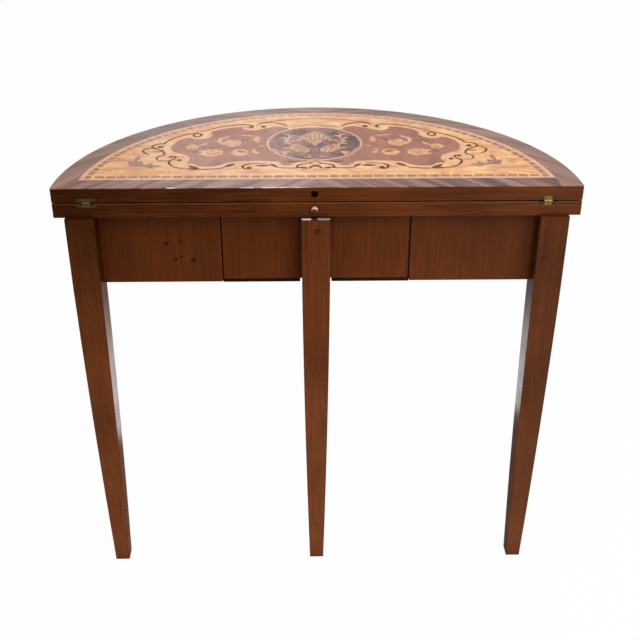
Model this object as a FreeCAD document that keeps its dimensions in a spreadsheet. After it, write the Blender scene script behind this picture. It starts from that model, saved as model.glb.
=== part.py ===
import FreeCAD, Part
import os
import re
import Sketcher

# A half-round fold-over table, seen from its straight side in the reference.
# Millimetres, +Z up, feet on z = 0.  The straight side faces -Y and the curve faces +Y.
# The upper leaf folds over on two brass hinges, and the middle rear leg pulls out on a
# shallow drawer to carry it.

doc = FreeCAD.newDocument("demilune_table")
sheet = doc.addObject("Spreadsheet::Sheet", "dims")

DIMENSIONS = {
    # leaves
    "leaf_radius": 410,
    "table_height": 750,
    "upper_leaf_thick": 23.2,
    "lower_leaf_thick": 23.2,
    "leaf_gap": 2.1,
    "edge_strip_depth": 12,
    "baize_margin": 55,
    "baize_thick": 1,
    # inlaid top
    "veneer_thick": 1,
    "crossband_width": 35,
    "stringing_width": 12.5,
    "medallion_room": 76.5,
    "medallion_ring_width": 4,
    "cartouche_side_room": 54,
    "cartouche_top_room": 68.5,
    "cartouche_low_room": 44,
    "cartouche_neck": 6,
    # legs
    "leg_size": 45,
    "foot_size": 25,
    "leg_belly": 1.5,
    "leg_end_inset": 17.5,
    "leg_proud": 6,
    "leg_top_clear": 0.5,
    "front_leg_proud": 4,
    # frame
    "apron_height": 122,
    "apron_thick": 20,
    "apron_inset": 20,
    "rail_recess": 25,
    "rail_thick": 18,
    "tenon_thick": 9,
    "tenon_length": 16,
    "tenon_margin": 16,
    # pull-out leg and its drawer
    "drawer_offset": -3,
    "drawer_opening": 303,
    "drawer_gap": 1.5,
    "drawer_lift": 5.5,
    "drawer_top_gap": 2,
    "drawer_front_thick": 18,
    "drawer_end_room": 37,
    "drawer_side_thick": 12,
    "drawer_side_drop": 22.5,
    "drawer_side_lift": 8,
    "drawer_side_inset": 0.5,
    "drawer_lap": 9,
    "drawer_bottom_thick": 6,
    "drawer_bottom_lift": 6,
    "drawer_groove": 4,
    "run_clear": 0.4,
    "leg_housing": 10,
    "gate_foot_clear": 1,
    "pad_thick": 1.5,
    "pad_gap": 2.3,
    "bearer_setback": 4,
    "bearer_thick": 7.6,
    "bearer_depth": 40,
    "bearer_leg_clear": 3,
    "runner_width": 20,
    "runner_thick": 12,
    "guide_thick": 16,
    "guide_lift": 8,
    "stop_length": 20,
    "stop_width": 10,
    "stop_height": 30,
    "block_size": 34,
    "block_height": 40,
    # hinges
    "hinge_inset": 53,
    "hinge_width": 30,
    "hinge_reach": 7,
    "hinge_plate_thick": 1.5,
    "hinge_axis_out": 0.4,
    "knuckle_radius": 2.4,
    "knuckle_gap": 0.15,
    "barrel_length": 12.6,
    "cove_clear": 0.4,
    "pin_radius": 1.1,
    "pin_clear": 0.05,
    # aligning peg and its hole
    "peg_offset": -5,
    "peg_radius": 5,
    "peg_out": 5.5,
    "peg_in": 16,
    "peg_point": 2.4,
    "peg_nose": 2,
    "hole_clear": 1,
    "hole_end_room": 3.5,
}

for row, (alias, value) in enumerate(DIMENSIONS.items(), start=1):
    cell = f"A{row}"
    sheet.set(cell, str(value))
    sheet.setAlias(cell, alias)
doc.recompute()

# A cutter runs this far past the face that it opens.
OVER = 1

# Levels and planes that several pieces share, as formulas of the driving dimensions.
BACK = "(-(leaf_radius - leg_proud) / 2)"
FOLD = "(table_height - upper_leaf_thick - leaf_gap / 2)"
UNDER = "(table_height - upper_leaf_thick - leaf_gap - lower_leaf_thick)"
APRON_LOW = f"({UNDER} - apron_height)"
LEG_BACK = f"({BACK} - leg_proud)"
LEG_FRONT = f"({LEG_BACK} + leg_size)"
LEG_OUTER = "(leaf_radius - leg_end_inset)"
LEG_INNER = f"({LEG_OUTER} - leg_size)"
RAIL_FACE = f"({LEG_BACK} + rail_recess)"
RAIL_INSIDE = f"({RAIL_FACE} + rail_thick)"
FRONT_INSIDE = f"({RAIL_FACE} + drawer_front_thick)"
APRON_OUTER = "(leaf_radius - apron_inset)"
APRON_INNER = f"({APRON_OUTER} - apron_thick)"
APRON_MIDDLE = f"({APRON_OUTER} - apron_thick / 2)"
FRONT_LEG_MIDDLE = f"({BACK} + {APRON_OUTER} + front_leg_proud - leg_size / 2)"
REAR_LEG_MIDDLE = f"({LEG_BACK} + leg_size / 2)"
OPENING_LEFT = "(drawer_offset - drawer_opening / 2)"
OPENING_RIGHT = "(drawer_offset + drawer_opening / 2)"
FRONT_LOW = f"({APRON_LOW} + drawer_lift)"
FRONT_HIGH = f"({UNDER} - drawer_top_gap)"
BOX_LOW = f"({FRONT_LOW} + drawer_side_lift)"
WELL_CORNER = "(drawer_opening / 2 + abs(drawer_offset))"
BOX_END = f"({BACK} + sqrt({APRON_INNER} ^ 2 - {WELL_CORNER} ^ 2) - drawer_end_room)"
BOX_HIGH = f"({FRONT_HIGH} - drawer_side_drop)"
BEARER_TOP = f"({FRONT_LOW} - run_clear)"
RUNNER_TOP = f"({BOX_LOW} - run_clear)"
GATE_LEG_TOP = f"({UNDER} - pad_gap - pad_thick)"
HOUSING = f"({RAIL_FACE} + leg_housing)"
UPPER_CORE_TOP = "(table_height - veneer_thick)"
BAND_RADIUS = "(leaf_radius - crossband_width)"
FIELD_RADIUS = "(leaf_radius - crossband_width - stringing_width)"
FIELD_OFFSET = "(crossband_width + stringing_width)"
FIELD_REACH = f"(({FIELD_RADIUS} - {FIELD_OFFSET}) / 2)"
MEDALLION_Y = f"({BACK} + {FIELD_OFFSET} + {FIELD_REACH})"
MEDALLION_RADIUS = f"({FIELD_REACH} - medallion_room)"
AXIS_Y = f"({BACK} - hinge_axis_out)"
KNUCKLE = "((barrel_length - 2 * knuckle_gap) / 3)"

nodes = {}


def bind(item, prop, formula):
    """Ties one property to a formula of the sheet's named cells."""
    item.setExpression(prop, re.sub(r"\b([a-z]+_[a-z_]+)\b", r"dims.\1", str(formula)))


def place(item, x, y, z):
    for axis, formula in zip("xyz", (x, y, z)):
        bind(item, f"Placement.Base.{axis}", formula)


def number(formula):
    """The present value of a formula of the sheet's cells."""
    return float(sheet.evalExpression(re.sub(r"\b([a-z]+_[a-z_]+)\b", r"dims.\1", formula)))


def box(name, x, y, z, length, width, height):
    item = doc.addObject("Part::Box", name)
    bind(item, "Length", length)
    bind(item, "Width", width)
    bind(item, "Height", height)
    place(item, x, y, z)
    return item


TURNS = {
    "+z": FreeCAD.Rotation(),
    "+x": FreeCAD.Rotation(FreeCAD.Vector(0, 1, 0), 90),
    "+y": FreeCAD.Rotation(FreeCAD.Vector(1, 0, 0), -90),
    "-y": FreeCAD.Rotation(FreeCAD.Vector(1, 0, 0), 90),
}


def cylinder(name, x, y, z, radius, height, direction="+z", angle=360):
    item = doc.addObject("Part::Cylinder", name)
    item.Angle = angle
    item.Placement = FreeCAD.Placement(FreeCAD.Vector(), TURNS[direction])
    bind(item, "Radius", radius)
    bind(item, "Height", height)
    place(item, x, y, z)
    return item


def joined(name, *items):
    fuse = doc.addObject("Part::MultiFuse", name)
    fuse.Shapes = list(items)
    return fuse


def without(name, base, *tools):
    cut = doc.addObject("Part::Cut", name)
    cut.Base = base
    cut.Tool = tools[0] if len(tools) == 1 else joined(name + "_tools", *tools)
    return cut


def shared(name, base, tool):
    common = doc.addObject("Part::Common", name)
    common.Base = base
    common.Tool = tool
    return common


def group(name, items):
    compound = doc.addObject("Part::Compound", name)
    compound.Links = list(items)
    return compound


def node(name, item):
    item.Label = name
    nodes[name] = item
    return item


def half_disc(name, radius, z, thick):
    return cylinder(name, 0, BACK, z, radius, thick, angle=180)


def d_plate(name, radius, offset, z, thick):
    """A half disc whose straight side stands off the leaves' straight edge."""
    keep = box(name + "_keep", f"-{radius}", f"{BACK} + {offset}", z, f"2 * {radius}", radius, thick)
    return shared(name, half_disc(name + "_disc", radius, z, thick), keep)


# Hinges: two plates let into the straight edges, three knuckles and a pin.
def hinge(side, sign):
    middle = f"({sign} * (leaf_radius - hinge_inset))"
    left = f"{middle} - hinge_width / 2"
    first = f"{middle} - barrel_length / 2"
    inner = f"{middle} - {KNUCKLE} / 2"
    last = f"{middle} + barrel_length / 2 - {KNUCKLE}"
    clear = "knuckle_radius + cove_clear"

    def barrel(name, start, radius, length):
        return cylinder(name, start, AXIS_Y, FOLD, radius, length, direction="+x")

    bore = barrel(f"bore_{side}", f"{first} - {OVER}", "pin_radius + pin_clear",
                  f"barrel_length + 2 * {OVER}")
    lower_seat = box(f"lower_seat_{side}", left, BACK, f"{FOLD} - hinge_reach",
                     "hinge_width", "hinge_plate_thick", "hinge_reach - leaf_gap / 2")
    upper_seat = box(f"upper_seat_{side}", left, BACK, f"{FOLD} + leaf_gap / 2",
                     "hinge_width", "hinge_plate_thick", "hinge_reach - leaf_gap / 2")
    middle_room = barrel(f"middle_room_{side}", f"{inner} - knuckle_gap", clear,
                         f"{KNUCKLE} + 2 * knuckle_gap")
    first_room = barrel(f"first_room_{side}", f"{first} - knuckle_gap", clear,
                        f"{KNUCKLE} + 2 * knuckle_gap")
    last_room = barrel(f"last_room_{side}", f"{last} - knuckle_gap", clear,
                       f"{KNUCKLE} + 2 * knuckle_gap")
    lower = joined(f"lower_hinge_{side}",
                   without(f"lower_plate_{side}", lower_seat, middle_room),
                   barrel(f"first_knuckle_{side}", first, "knuckle_radius", KNUCKLE),
                   barrel(f"last_knuckle_{side}", last, "knuckle_radius", KNUCKLE))
    upper = joined(f"upper_hinge_{side}",
                   without(f"upper_plate_{side}", upper_seat, first_room, last_room),
                   barrel(f"middle_knuckle_{side}", inner, "knuckle_radius", KNUCKLE))
    node(f"hinge_lower_{side}", without(f"hinge_lower_cut_{side}", lower, bore))
    node(f"hinge_upper_{side}", without(f"hinge_upper_cut_{side}", upper, bore))
    node(f"hinge_pin_{side}", barrel(f"pin_{side}", first, "pin_radius", "barrel_length"))
    cove = barrel(f"cove_{side}", f"{first} - knuckle_gap", clear, "barrel_length + 2 * knuckle_gap")
    return {"lower": [lower_seat, cove], "upper": [upper_seat, cove]}


hinges = [hinge("left", -1), hinge("right", 1)]


# Leaves: a core, a solid strip along the straight edge, and a baize lining let into the inside.
def leaf(level, low, thick, baize_low):
    disc = half_disc(f"{level}_disc", "leaf_radius", low, thick)
    strip_zone = box(f"{level}_strip_zone", "-leaf_radius", BACK, low,
                     "2 * leaf_radius", "edge_strip_depth", thick)
    inner_radius = "(leaf_radius - baize_margin)"
    baize = node(f"{level}_baize",
                 d_plate(f"{level}_lining", inner_radius, "baize_margin", baize_low, "baize_thick"))
    strip = shared(f"{level}_strip", disc, strip_zone)
    return disc, strip_zone, baize, strip


# Aligning peg: a dowel in the lower leaf's straight edge, and the hole that it enters when open.
LOWER_MIDDLE = f"({UNDER} + lower_leaf_thick / 2)"
UPPER_MIDDLE = f"({FOLD} * 2 - {LOWER_MIDDLE})"
HOLE_DEPTH = "(peg_out + hole_end_room)"

peg_rod = cylinder("peg_rod", "peg_offset", f"{BACK} + peg_in", LOWER_MIDDLE, "peg_radius",
                   "peg_in + peg_out - peg_nose", direction="-y")
peg_tip = doc.addObject("Part::Cone", "peg_tip")
peg_tip.Placement = FreeCAD.Placement(FreeCAD.Vector(), TURNS["-y"])
bind(peg_tip, "Radius1", "peg_radius")
bind(peg_tip, "Radius2", "peg_point")
bind(peg_tip, "Height", "peg_nose")
place(peg_tip, "peg_offset", f"{BACK} - peg_out + peg_nose", LOWER_MIDDLE)
node("alignment_peg", joined("peg", peg_rod, peg_tip))

lower_disc, lower_zone, lower_baize, lower_strip = leaf(
    "lower", UNDER, "lower_leaf_thick", f"{UNDER} + lower_leaf_thick - baize_thick")
node("lower_leaf", without("lower_core", lower_disc, lower_zone, lower_baize, peg_rod))
node("lower_edge_strip", without("lower_strip_cut", lower_strip, peg_rod,
                                 *hinges[0]["lower"], *hinges[1]["lower"]))

upper_low = "(table_height - upper_leaf_thick)"
upper_disc, upper_zone, upper_baize, upper_strip = leaf(
    "upper", upper_low, "(upper_leaf_thick - veneer_thick)", upper_low)
node("upper_leaf", without("upper_core", upper_disc, upper_zone, upper_baize))
peg_hole = cylinder("peg_hole", "peg_offset", f"{BACK} + {HOLE_DEPTH}", UPPER_MIDDLE,
                    "peg_radius + hole_clear", f"{HOLE_DEPTH} + {OVER}", direction="-y")
node("upper_edge_strip", without("upper_strip_cut", upper_strip, peg_hole,
                                 *hinges[0]["upper"], *hinges[1]["upper"]))


# Inlaid top: crossbanded border, stringing, field, cartouche and round medallion, which stands
# midway between the field's straight and curved sides.
def veneer_disc(name, radius):
    return cylinder(name, 0, MEDALLION_Y, UPPER_CORE_TOP, radius, "veneer_thick")


# Half of the cartouche outline, from its neck under the medallion round to its top, as arcs of
# (through, end).  Each point is (across, along) as a share of the half width and of the rise
# above or fall below the medallion's centre.
CARTOUCHE_ARCS = [
    ((0.11, -0.84), (0.17, -0.96)),
    ((0.22, -0.93), (0.25, -0.80)),
    ((0.40, -0.765), (0.56, -0.80)),
    ((0.60, -0.93), (0.67, -0.99)),
    ((0.73, -1.00), (0.78, -0.97)),
    ((0.86, -0.82), (0.855, -0.67)),
    ((0.885, -0.49), (0.96, -0.41)),
    ((1.00, -0.21), (0.99, -0.01)),
    ((0.955, 0.22), (0.89, 0.35)),
    ((0.825, 0.25), (0.755, 0.38)),
    ((0.735, 0.53), (0.755, 0.67)),
    ((0.66, 0.90), (0.53, 1.00)),
    ((0.465, 0.76), (0.405, 0.85)),
    ((0.35, 0.93), (0.31, 1.00)),
    ((0.245, 1.00), (0.19, 0.80)),
]


def cartouche_solid():
    """The lobed plate under the scrolls, mirrored about the table's middle."""
    side = f"sqrt({FIELD_RADIUS} ^ 2 - ({FIELD_OFFSET} + {FIELD_REACH}) ^ 2)"
    half = number(f"{side} - cartouche_side_room")
    rise = number(f"{FIELD_REACH} - cartouche_top_room")
    fall = number(f"{FIELD_REACH} - cartouche_low_room")
    level = number(UPPER_CORE_TOP)
    middle = number(MEDALLION_Y)
    neck = number(f"{MEDALLION_RADIUS} + medallion_ring_width + cartouche_neck")

    def point(pair, sign):
        along = pair[1] * (rise if pair[1] > 0 else fall)
        return FreeCAD.Vector(sign * pair[0] * half, middle + along, level)

    edges = []
    for sign in (1, -1):
        start = FreeCAD.Vector(0, middle - neck, level)
        for through, end in CARTOUCHE_ARCS:
            edges.append(Part.Arc(start, point(through, sign), point(end, sign)).toShape())
            start = point(end, sign)
    top = CARTOUCHE_ARCS[-1][1]
    edges.append(Part.LineSegment(point(top, 1), point(top, -1)).toShape())
    face = Part.Face(Part.Wire(Part.__sortEdges__(edges)))
    if face.normalAt(0, 0).z < 0:
        face.reverse()
    item = doc.addObject("Part::Feature", "cartouche_plate")
    item.Shape = face.extrude(FreeCAD.Vector(0, 0, number("veneer_thick")))
    return item


band_disc = half_disc("band_disc", BAND_RADIUS, UPPER_CORE_TOP, "veneer_thick")
node("crossband_arc", without("crossband_ring", half_disc("top_disc", "leaf_radius", UPPER_CORE_TOP,
                                                          "veneer_thick"), band_disc))
band_zone = box("band_zone", "-leaf_radius", BACK, UPPER_CORE_TOP, "2 * leaf_radius",
                "crossband_width", "veneer_thick")
node("crossband_straight", shared("crossband_strip", band_disc, band_zone))
string_plate = d_plate("string_plate", BAND_RADIUS, "crossband_width", UPPER_CORE_TOP, "veneer_thick")
field_plate = d_plate("field_plate", FIELD_RADIUS, FIELD_OFFSET, UPPER_CORE_TOP, "veneer_thick")
node("stringing", without("stringing_frame", string_plate, field_plate))
ring_disc = veneer_disc("ring_disc", f"{MEDALLION_RADIUS} + medallion_ring_width")
medallion_disc = veneer_disc("medallion_disc", MEDALLION_RADIUS)
cartouche = shared("cartouche_in_field", cartouche_solid(), field_plate)
node("field_veneer", without("field_cut", field_plate, cartouche, ring_disc))
node("cartouche_veneer", without("cartouche_cut", cartouche, ring_disc))
node("medallion_ring", without("medallion_ring_cut", ring_disc, medallion_disc))
node("medallion_veneer", medallion_disc)


# Legs: a square block at the frame, then a slightly full taper to a small foot.
def square(body, name, level, side):
    sketch = body.newObject("Sketcher::SketchObject", name)
    ground = [item for item in body.Origin.OriginFeatures if item.Role == "XY_Plane"][0]
    sketch.AttachmentSupport = [(ground, "")]
    sketch.MapMode = "FlatFace"
    bind(sketch, "AttachmentOffset.Base.z", level)
    half = number(side) / 2
    corners = [FreeCAD.Vector(x * half, y * half, 0) for x, y in ((-1, -1), (1, -1), (1, 1), (-1, 1))]
    for i in range(4):
        sketch.addGeometry(Part.LineSegment(corners[i], corners[(i + 1) % 4]), False)
    for i in range(4):
        sketch.addConstraint(Sketcher.Constraint("Coincident", i, 2, (i + 1) % 4, 1))
    for i in (0, 2):
        sketch.addConstraint(Sketcher.Constraint("Horizontal", i))
        sketch.addConstraint(Sketcher.Constraint("Vertical", i + 1))
    sketch.addConstraint(Sketcher.Constraint("Symmetric", 0, 1, 2, 1, -1, 1))
    for kind, line in (("DistanceX", 0), ("DistanceY", 1)):
        index = sketch.addConstraint(Sketcher.Constraint(kind, line, 1, line, 2, 2 * half))
        bind(sketch, f"Constraints[{index}]", side)
    return sketch


def leg_blank(name, x, y, foot, top):
    body = doc.addObject("PartDesign::Body", name)
    block_profile = square(body, name + "_block_profile", APRON_LOW, "leg_size")
    block = body.newObject("PartDesign::Pad", name + "_block")
    block.Profile = block_profile
    bind(block, "Length", f"{top} - {APRON_LOW}")
    shoulder = square(body, name + "_shoulder", APRON_LOW, "leg_size")
    swell = square(body, name + "_swell", f"({APRON_LOW} + {foot}) / 2",
                   "(leg_size + foot_size) / 2 + 2 * leg_belly")
    toe = square(body, name + "_toe", foot, "foot_size")
    taper = body.newObject("PartDesign::AdditiveLoft", name + "_taper")
    taper.Profile = shoulder
    taper.Sections = [swell, toe]
    body.Tip = taper
    place(body, x, y, 0)
    return body


# Frame: two curved aprons and two short rear rails, tenoned into the legs.
def apron(side, sign):
    ring = without(f"apron_ring_{side}",
                   half_disc(f"apron_outer_{side}", APRON_OUTER, APRON_LOW, "apron_height"),
                   half_disc(f"apron_inner_{side}", APRON_INNER, f"{APRON_LOW} - {OVER}",
                             f"apron_height + 2 * {OVER}"))
    start = "leg_size / 2" if sign > 0 else "-leaf_radius"
    keep = box(f"apron_keep_{side}", start, LEG_FRONT, APRON_LOW,
               "leaf_radius - leg_size / 2", "leaf_radius", "apron_height")
    tenon_low = f"{APRON_LOW} + tenon_margin"
    tenon_high = "apron_height - 2 * tenon_margin"
    across = f"{sign} * sqrt({APRON_MIDDLE} ^ 2 - (leg_size - leg_proud) ^ 2) - tenon_thick / 2"
    rear_tenon = box(f"apron_rear_tenon_{side}", across, f"{LEG_FRONT} - tenon_length", tenon_low,
                     "tenon_thick", "tenon_length", tenon_high)
    along = f"{BACK} + sqrt({APRON_MIDDLE} ^ 2 - (leg_size / 2) ^ 2) - tenon_thick / 2"
    inward = "leg_size / 2 - tenon_length" if sign > 0 else "-leg_size / 2"
    front_tenon = box(f"apron_front_tenon_{side}", inward, along, tenon_low,
                      "tenon_length", "tenon_thick", tenon_high)
    node(f"curved_apron_{side}",
         joined(f"apron_{side}", shared(f"apron_arc_{side}", ring, keep), rear_tenon, front_tenon))
    return rear_tenon, front_tenon


def rear_rail(side, sign):
    start = f"-{LEG_INNER}" if sign < 0 else OPENING_RIGHT
    length = f"{LEG_INNER} + {OPENING_LEFT}" if sign < 0 else f"{LEG_INNER} - {OPENING_RIGHT}"
    board = box(f"rail_board_{side}", start, RAIL_FACE, APRON_LOW, length, "rail_thick", "apron_height")
    tenon_start = f"-{LEG_INNER} - tenon_length" if sign < 0 else LEG_INNER
    tenon = box(f"rail_tenon_{side}", tenon_start, f"{RAIL_FACE} + (rail_thick - tenon_thick) / 2",
                f"{APRON_LOW} + tenon_margin", "tenon_length", "tenon_thick",
                "apron_height - 2 * tenon_margin")
    node(f"back_rail_{side}", joined(f"rail_{side}", board, tenon))
    return tenon


front_mortises = []
for side, sign in (("left", -1), ("right", 1)):
    apron_tenon, front_tenon = apron(side, sign)
    rail_tenon = rear_rail(side, sign)
    front_mortises.append(front_tenon)
    blank = leg_blank(f"rear_blank_{side}", f"{sign} * ({LEG_OUTER} - leg_size / 2)",
                      REAR_LEG_MIDDLE, 0, f"({UNDER} - leg_top_clear)")
    node(f"rear_leg_{side}", without(f"rear_leg_cut_{side}", blank, apron_tenon, rail_tenon))

front_blank = leg_blank("front_blank", 0, FRONT_LEG_MIDDLE, 0, UNDER)
node("front_leg", without("front_leg_cut", front_blank, *front_mortises))


# Drawer case: guides beside the drawer, runners under its sides, a notched bearer at its mouth.
well = half_disc("well", APRON_INNER, APRON_LOW, "apron_height")
stops = []
blocks = []
for side, sign, edge in (("left", -1, OPENING_LEFT), ("right", 1, OPENING_RIGHT)):
    outward = f"{edge} - guide_thick" if sign < 0 else edge
    inward = edge if sign < 0 else f"{edge} - runner_width"
    guide_board = box(f"guide_board_{side}", outward, RAIL_INSIDE, f"{APRON_LOW} + guide_lift",
                      "guide_thick", "leaf_radius", "apron_height - guide_lift")
    node(f"drawer_guide_{side}", shared(f"guide_{side}", guide_board, well))
    runner_strip = box(f"runner_strip_{side}", inward, f"{RAIL_FACE} + bearer_setback + bearer_depth",
                       f"{RUNNER_TOP} - runner_thick", "runner_width", "leaf_radius", "runner_thick")
    node(f"drawer_runner_{side}", shared(f"runner_{side}", runner_strip, well))
    stop_start = edge if sign < 0 else f"{edge} - stop_width"
    stops.append(box(f"stop_{side}", stop_start, f"{BOX_END} + run_clear",
                     RUNNER_TOP, "stop_width", "stop_length", "stop_height"))
    corner = f"{edge} + {sign} * guide_thick"
    wedge = doc.addObject("Part::Wedge", f"block_blank_{side}")
    wedge.Xmin = wedge.Ymin = wedge.Zmin = wedge.X2min = wedge.X2max = wedge.Z2min = 0
    for prop in ("Xmax", "Ymax"):
        bind(wedge, prop, "block_size")
    for prop in ("Zmax", "Z2max"):
        bind(wedge, prop, "block_height")
    quarter = 90 if sign < 0 else 0
    wedge.Placement = FreeCAD.Placement(
        FreeCAD.Vector(), FreeCAD.Rotation(FreeCAD.Vector(0, 0, 1), quarter))
    place(wedge, corner, RAIL_INSIDE, f"{UNDER} - block_height")
    blocks.append(wedge)
node("drawer_stops", group("stop_pair", stops))
node("corner_blocks", group("block_pair", blocks))

bearer_board = box("bearer_board", OPENING_LEFT, f"{RAIL_FACE} + bearer_setback",
                   f"{BEARER_TOP} - bearer_thick", "drawer_opening", "bearer_depth", "bearer_thick")
bearer_notch = box("bearer_notch", "drawer_offset - leg_size / 2 - bearer_leg_clear",
                   RAIL_FACE, f"{BEARER_TOP} - bearer_thick - {OVER}",
                   "leg_size + 2 * bearer_leg_clear",
                   f"{LEG_FRONT} - {RAIL_FACE} + bearer_leg_clear", f"bearer_thick + 2 * {OVER}")
node("drawer_bearer", without("bearer", bearer_board, bearer_notch))


# Pull-out leg: lapped over the drawer front and glued into its housing.
gate_blank = leg_blank("gate_blank", "drawer_offset", REAR_LEG_MIDDLE, "gate_foot_clear", GATE_LEG_TOP)
lap = box("leg_lap", "drawer_offset - leg_size", HOUSING, FRONT_LOW, "2 * leg_size", "leg_size",
          "apron_height")
node("gate_leg", without("gate_leg_cut", gate_blank, lap))
node("gate_leg_pad", box("gate_pad", "drawer_offset - leg_size / 2", LEG_BACK, GATE_LEG_TOP,
                         "leg_size", "rail_recess + leg_housing", "pad_thick"))

FRONT_LEFT = f"({OPENING_LEFT} + drawer_gap)"
FRONT_WIDTH = "(drawer_opening - 2 * drawer_gap)"
SIDE_START = f"({FRONT_INSIDE} - drawer_lap)"
front_board = box("front_board", FRONT_LEFT, RAIL_FACE, FRONT_LOW, FRONT_WIDTH, "drawer_front_thick",
                  f"{FRONT_HIGH} - {FRONT_LOW}")
housing = box("housing", "drawer_offset - leg_size / 2", f"{RAIL_FACE} - {OVER}", f"{FRONT_LOW} - {OVER}",
              "leg_size", f"leg_housing + {OVER}", f"{FRONT_HIGH} - {FRONT_LOW} + 2 * {OVER}")
side_boards = []
for side, start in (("left", f"{FRONT_LEFT} + drawer_side_inset"),
                    ("right", f"{FRONT_LEFT} + {FRONT_WIDTH} - drawer_side_inset - drawer_side_thick")):
    side_boards.append(box(f"side_board_{side}", start, SIDE_START, BOX_LOW, "drawer_side_thick",
                           f"{BOX_END} - {SIDE_START}", f"{BOX_HIGH} - {BOX_LOW}"))
INSIDE_LEFT = f"({FRONT_LEFT} + drawer_side_inset + drawer_side_thick)"
INSIDE_WIDTH = f"({FRONT_WIDTH} - 2 * drawer_side_inset - 2 * drawer_side_thick)"
BOTTOM_LOW = f"({BOX_LOW} + drawer_bottom_lift)"
bottom_board = box("bottom_board", f"{INSIDE_LEFT} - drawer_groove", f"{FRONT_INSIDE} - drawer_groove",
                   BOTTOM_LOW, f"{INSIDE_WIDTH} + 2 * drawer_groove",
                   f"{BOX_END} - {FRONT_INSIDE} + drawer_groove", "drawer_bottom_thick")
back_board = box("back_board", INSIDE_LEFT, f"{BOX_END} - drawer_side_thick",
                 f"{BOTTOM_LOW} + drawer_bottom_thick", INSIDE_WIDTH, "drawer_side_thick",
                 f"{BOX_HIGH} - {BOTTOM_LOW} - drawer_bottom_thick")
node("drawer_front", without("front_cut", front_board, housing, bottom_board, *side_boards))
for side, board in zip(("left", "right"), side_boards):
    node(f"drawer_side_{side}", without(f"side_cut_{side}", board, bottom_board))
node("drawer_bottom", bottom_board)
node("drawer_back", back_board)

doc.recompute()

# Nothing is written unless every object of the document is sound.
faults = [item.Name for item in doc.Objects if "Invalid" in item.State or "Error" in item.State]
for name, item in nodes.items():
    shape = item.Shape
    if shape.isNull() or not shape.isValid() or not shape.Solids:
        faults.append(name)
if faults:
    raise RuntimeError("unsound objects: " + ", ".join(faults))

os.makedirs("parts", exist_ok=True)
for name, item in nodes.items():
    item.Shape.exportStep(f"parts/{name}.step")
print(len(nodes), "nodes written")
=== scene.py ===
import math

import bmesh
import bpy
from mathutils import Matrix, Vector


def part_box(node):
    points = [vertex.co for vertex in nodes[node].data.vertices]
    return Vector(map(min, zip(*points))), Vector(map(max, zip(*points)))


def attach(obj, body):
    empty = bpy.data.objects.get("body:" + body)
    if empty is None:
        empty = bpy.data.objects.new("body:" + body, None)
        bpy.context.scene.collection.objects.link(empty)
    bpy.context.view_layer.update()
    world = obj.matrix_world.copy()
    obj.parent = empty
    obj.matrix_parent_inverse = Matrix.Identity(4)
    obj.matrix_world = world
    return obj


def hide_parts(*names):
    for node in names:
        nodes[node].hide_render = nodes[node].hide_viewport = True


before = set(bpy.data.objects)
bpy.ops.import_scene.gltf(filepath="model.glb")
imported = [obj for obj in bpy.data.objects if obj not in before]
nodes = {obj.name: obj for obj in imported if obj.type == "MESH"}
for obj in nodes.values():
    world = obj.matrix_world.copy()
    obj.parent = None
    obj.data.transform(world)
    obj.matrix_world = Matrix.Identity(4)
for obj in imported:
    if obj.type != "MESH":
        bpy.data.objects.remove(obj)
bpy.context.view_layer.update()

MM = 0.001


def low(node):
    return Vector(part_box(node)[0])


def high(node):
    return Vector(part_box(node)[1])


def middle(node):
    return (low(node) + high(node)) / 2


# Places taken from the frame, in metres.
TOP = high("field_veneer").z
BACK = low("crossband_straight").y
RAIL_FACE = low("back_rail_left").y
LEG_BACK = low("gate_leg").y
LEAF_RADIUS = high("crossband_arc").x

# Camera of the photograph, whose frame is square.
PHOTO_WIDTH = 640
FOCAL_PIXELS = 994
SENSOR = 36
EYE = (-0.0187, -1.6325, 1.3110)
EYE_PITCH = 0.50656
EYE_YAW = 0.01542

# How alike the rounded and the flat normal are on a flat and on an arris, and how open a place is in
# the open and in a corner, for the painted shade in corners.
ARRIS_LIKENESS = (0.97, 0.80)
CORNER_OPEN = (0.95, 0.42)


# Nodes.  Colours are written as sRGB values of 0 to 255, and lengths in materials are in metres.
def colour(red, green, blue):
    """An sRGB colour as the linear colour that a shader takes."""
    def linear(value):
        share = value / 255
        return share / 12.92 if share <= 0.04045 else ((share + 0.055) / 1.055) ** 2.4
    return (linear(red), linear(green), linear(blue), 1)


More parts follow.
